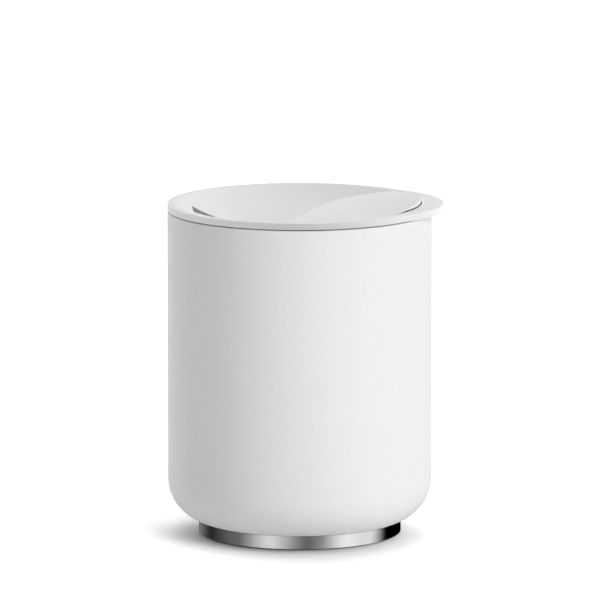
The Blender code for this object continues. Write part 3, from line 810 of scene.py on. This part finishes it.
class GROUNDS_OT_plug(bpy.types.Operator):
    """Turns the ring that centres the lid, and the seal in its groove"""
    bl_idname = "grounds.plug"
    bl_label = "Plug and seal"

    def execute(self, context):
        cup = context.scene.grounds_cup
        lid = context.scene.grounds_lid
        looks = context.scene.grounds_finishes
        bore = lid.plug_radius - lid.plug_wall
        groove = lid.plug_radius - lid.seal_depth
        high = lid.seal_top + cup.fit_gap
        low = lid.seal_bottom - cup.fit_gap
        edge = lid.plug_wall / 2
        profile = [(bore, lid.plug_top), (lid.plug_radius, lid.plug_top), (lid.plug_radius, high)]
        profile += [(groove, high), (groove, low), (lid.plug_radius, low)]
        profile += arc(lid.plug_radius - edge, lid.plug_bottom + edge, edge, 0, -90, PLUG_EDGE_STEPS)
        profile.append((bore, lid.plug_bottom))
        plug = spun("centring_ring", profile, cup.turn_steps)
        hand_over(plug, "lid", "lid_plug", moulding_material(looks))

        back = groove + cup.fit_gap
        height = lid.seal_top - lid.seal_bottom
        lip = height * SEAL_LIP_SHARE
        lip_z = lid.seal_top - height * SEAL_LIP_DROP
        profile = [(back, lid.seal_top), (lid.plug_radius, lid.seal_top)]
        profile += arc(lid.seal_radius - lip, lip_z, lip, SEAL_LIP_SWING, -SEAL_LIP_SWING, SEAL_STEPS)
        profile += [(lid.plug_radius, lid.seal_bottom), (back, lid.seal_bottom)]
        seal = spun("sealing_ring", profile, cup.turn_steps)
        hand_over(seal, "lid", "lid_seal", silicone_material(looks))
        return {"FINISHED"}


class GROUNDS_OT_magnets(bpy.types.Operator):
    """Gives the magnets and their tray, which keep their CAD shapes, their finishes"""
    bl_idname = "grounds.magnets"
    bl_label = "Magnets and tray"

    def execute(self, context):
        looks = context.scene.grounds_finishes
        for name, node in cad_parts.items():
            if name.startswith("magnet"):
                finish = tray_material(looks) if name == "magnet_holder" else nickel_material(looks)
                node.material_slots[0].material = finish
        return {"FINISHED"}


def towards(turn, rise, distance):
    """A place round the cup: turn 0 is in front and a positive turn is to the right."""
    level = distance * cos(rise)
    return Vector((sin(turn) * level, -cos(turn) * level, distance * sin(rise)))


def lamp(name, turn, rise, strength, lit):
    """A broad, far lamp from one side, which lights only the given pieces."""
    deselect()
    place = towards(radians(turn), radians(rise), LAMP_DISTANCE)
    facing = place.to_track_quat("Z", "Y").to_euler()
    bpy.ops.object.light_add(type="SUN", location=place, rotation=facing)
    light = bpy.context.object
    light.name = name
    light.data.name = name
    light.data.energy = strength
    light.data.angle = LAMP_SPREAD
    group = bpy.data.collections.new(name + "_pieces")
    for piece in lit:
        group.objects.link(piece)
    light.light_linking.receiver_collection = group
    return light


def maths(tree, operation, *values):
    """Output of a new maths node that takes sockets and plain numbers."""
    node = added(tree, "ShaderNodeMath")
    node.operation = operation
    for socket, value in zip(node.inputs, values):
        if isinstance(value, bpy.types.NodeSocket):
            tree.links.new(value, socket)
        else:
            socket.default_value = value
    return node.outputs[0]


def seen_rays(tree):
    """Value that is 1 for rays that show the background itself: camera, glossy and transmission rays."""
    path = added(tree, "ShaderNodeLightPath").outputs
    both = maths(tree, "MAXIMUM", path["Is Camera Ray"], path["Is Glossy Ray"])
    return maths(tree, "MAXIMUM", both, path["Is Transmission Ray"])


def painted_contact_shade(tree, cup, stage):
    """Painted shadow on the floor: a share of its seen colour that fades close to the foot, and most on one
    side.
    """
    place = added(tree, "ShaderNodeTexCoord").outputs["Object"]
    reach = added(tree, "ShaderNodeVectorMath")
    reach.operation = "LENGTH"
    tree.links.new(place, reach.inputs[0])
    side = added(tree, "ShaderNodeVectorMath")
    side.operation = "DOT_PRODUCT"
    side.inputs[1].default_value = towards(stage.painted_shadow_turn, 0.0, 1.0)
    tree.links.new(place, side.inputs[0])
    lean = maths(tree, "DIVIDE", side.outputs["Value"], reach.outputs["Value"])
    depth = maths(tree, "MULTIPLY_ADD", lean, stage.painted_shadow_lean, stage.painted_shadow_depth)
    away = maths(tree, "SUBTRACT", cup.foot_radius, reach.outputs["Value"])
    outside = maths(tree, "MINIMUM", away, 0.0)
    fade = maths(tree, "EXPONENT", maths(tree, "DIVIDE", outside, stage.painted_shadow_reach))
    return maths(tree, "SUBTRACT", 1.0, maths(tree, "MULTIPLY", depth, fade))


class GROUNDS_OT_stage(bpy.types.Operator):
    """Sets up the floor, the world, the lamps and the camera"""
    bl_idname = "grounds.stage"
    bl_label = "Stage"

    def floor(self, cup, stage):
        """Floor that is white where it is looked at, keeps the lamps' shadows of the cup, and has a painted
        shadow round the foot.
        """
        deselect()
        bpy.ops.mesh.primitive_circle_add(vertices=FLOOR_STEPS, radius=stage.floor_radius, fill_type="NGON")
        floor = named("floor")
        material = bpy.data.materials.new("floor_white")
        material.use_nodes = True
        tree = material.node_tree
        tree.nodes.clear()
        end = added(tree, "ShaderNodeOutputMaterial")
        matt = added(tree, "ShaderNodeBsdfDiffuse")
        level = added(tree, "ShaderNodeMapRange", {"To Min": stage.floor_pale})
        # Seen colour of the floor, with the painted contact shadow round the foot
        white = maths(tree, "MULTIPLY", painted_contact_shade(tree, cup, stage), stage.floor_white)
        tree.links.new(white, level.inputs["To Max"])
        tree.links.new(seen_rays(tree), level.inputs["Value"])
        tree.links.new(level.outputs["Result"], matt.inputs["Color"])
        tree.links.new(matt.outputs[0], end.inputs["Surface"])
        floor.data.materials.append(material)

    def card(self, name, facing, height, cup, stage):
        """Fan of cards on the floor, laid out along the reflections that one side of the foot shows."""
        corners = []
        for k in range(CARD_STEPS + 1):
            turn = pi * k / CARD_STEPS - pi / 2
            start = towards(facing + turn, 0.0, cup.foot_radius)
            for reach in (0.0, stage.card_reach):
                corner = start + towards(facing + 2 * turn, 0.0, reach)
                corners += [corner.x, corner.y, height]
        deselect()
        bpy.ops.mesh.primitive_grid_add(x_subdivisions=1, y_subdivisions=CARD_STEPS, size=MM)
        card = named(name)
        card.data.vertices.foreach_set("co", corners)
        card.data.update()
        card.visible_camera = False
        card.visible_diffuse = False
        card.visible_shadow = False
        card.visible_transmission = False
        return card

    def cards(self, cup, stage):
        """Bright and dark cards, before and behind the cup, that only the polished foot sees."""
        front = self.card("front_cards", stage.camera_turn, stage.card_height, cup, stage)
        back = self.card("back_cards", stage.camera_turn + pi, stage.card_height / 2, cup, stage)
        material = bpy.data.materials.new("card_bands")
        material.use_nodes = True
        tree = material.node_tree
        tree.nodes.clear()
        end = added(tree, "ShaderNodeOutputMaterial")
        glow = added(tree, "ShaderNodeEmission")
        split = added(tree, "ShaderNodeSeparateXYZ")
        tree.links.new(added(tree, "ShaderNodeUVMap").outputs["UV"], split.inputs[0])
        total = 0.0
        for turn, width, blur, level in CARDS:
            away = maths(tree, "SUBTRACT", split.outputs["Y"], turn / CARD_SPAN + 0.5)
            outer = (width + blur) / CARD_SPAN
            inner = (width - blur) / CARD_SPAN
            band = added(tree, "ShaderNodeMapRange", {"From Min": outer, "From Max": inner, "To Max": level})
            band.interpolation_type = "SMOOTHSTEP"
            tree.links.new(maths(tree, "ABSOLUTE", away), band.inputs["Value"])
            total = maths(tree, "ADD", total, band.outputs[0])
        tree.links.new(total, glow.inputs["Strength"])
        tree.links.new(glow.outputs[0], end.inputs["Surface"])
        front.data.materials.append(material)
        back.data.materials.append(material)

    def world(self, scene, stage):
        """World that is white where it is looked at and otherwise gives an even light."""
        world = bpy.data.worlds.new("studio")
        scene.world = world
        world.use_nodes = True
        tree = world.node_tree
        back = tree.nodes["Background"]
        back.inputs["Color"].default_value = (1.0, 1.0, 1.0, 1.0)
        level = added(tree, "ShaderNodeMapRange", {"To Min": stage.fill, "To Max": 1.0})
        tree.links.new(seen_rays(tree), level.inputs["Value"])
        tree.links.new(level.outputs["Result"], back.inputs["Strength"])

    def lamps(self, scene):
        """Lamps for the cup and the floor, and others for the lid that leave no glare on its flats."""
        meshes = [piece for piece in scene.objects if piece.type == "MESH"]
        lit = {"cup": [piece for piece in meshes if piece.name not in LID_PIECES],
               "lid": [piece for piece in meshes if piece.name in LID_PIECES]}
        for name, turn, rise, strength, pieces in LAMPS:
            light = lamp(name, turn, rise, strength, lit[pieces])
            light.visible_glossy = pieces != "lid"

    def camera(self, scene, stage):
        """Camera with a long lens that looks a little down on the cup."""
        deselect()
        place = towards(stage.camera_turn, 0.0, stage.camera_distance)
        place.z = stage.camera_height
        facing = (pi / 2 - stage.camera_pitch, 0.0, stage.camera_turn)
        bpy.ops.object.camera_add(location=place, rotation=facing)
        camera = bpy.context.object
        camera.name = "camera"
        camera.data.sensor_width = SENSOR_WIDTH
        camera.data.lens = stage.camera_lens
        camera.data.shift_x = stage.camera_shift
        camera.data.clip_end = VIEW_LIMIT
        scene.camera = camera

    def execute(self, context):
        scene = context.scene
        stage = scene.grounds_stage
        self.floor(scene.grounds_cup, stage)
        self.cards(scene.grounds_cup, stage)
        self.world(scene, stage)
        self.lamps(scene)
        self.camera(scene, stage)
        scene.view_settings.view_transform = "Standard"
        return {"FINISHED"}


class GROUNDS_PT_panel(bpy.types.Panel):
    """Lists the steps that build the cup"""
    bl_idname = "GROUNDS_PT_panel"
    bl_label = "Grounds cup"
    bl_space_type = "VIEW_3D"
    bl_region_type = "UI"
    bl_category = "Grounds cup"

    def draw(self, context):
        for step in STEPS:
            self.layout.operator(step.bl_idname)


STEPS = (GROUNDS_OT_cup, GROUNDS_OT_foot, GROUNDS_OT_lid, GROUNDS_OT_leaf, GROUNDS_OT_plug,
         GROUNDS_OT_magnets, GROUNDS_OT_stage)
GROUPS = {"grounds_cup": CupSizes, "grounds_lid": LidSizes, "grounds_finishes": Finishes,
          "grounds_stage": StageSettings}


def register():
    """Registers the settings, the operators and the panel."""
    for name, group in GROUPS.items():
        bpy.utils.register_class(group)
        setattr(bpy.types.Scene, name, PointerProperty(type=group))
    for step in STEPS:
        bpy.utils.register_class(step)
    bpy.utils.register_class(GROUNDS_PT_panel)


def unregister():
    """Takes the panel, the operators and the settings away again."""
    bpy.utils.unregister_class(GROUNDS_PT_panel)
    for step in reversed(STEPS):
        bpy.utils.unregister_class(step)
    for name, group in GROUPS.items():
        delattr(bpy.types.Scene, name)
        bpy.utils.unregister_class(group)


def main():
    """Builds the cup and its stage."""
    register()
    bpy.ops.grounds.cup()
    bpy.ops.grounds.foot()
    bpy.ops.grounds.lid()
    bpy.ops.grounds.leaf()
    bpy.ops.grounds.plug()
    bpy.ops.grounds.magnets()
    bpy.ops.grounds.stage()
    deselect()
    bpy.context.view_layer.update()


if __name__ == "__main__":
    main()
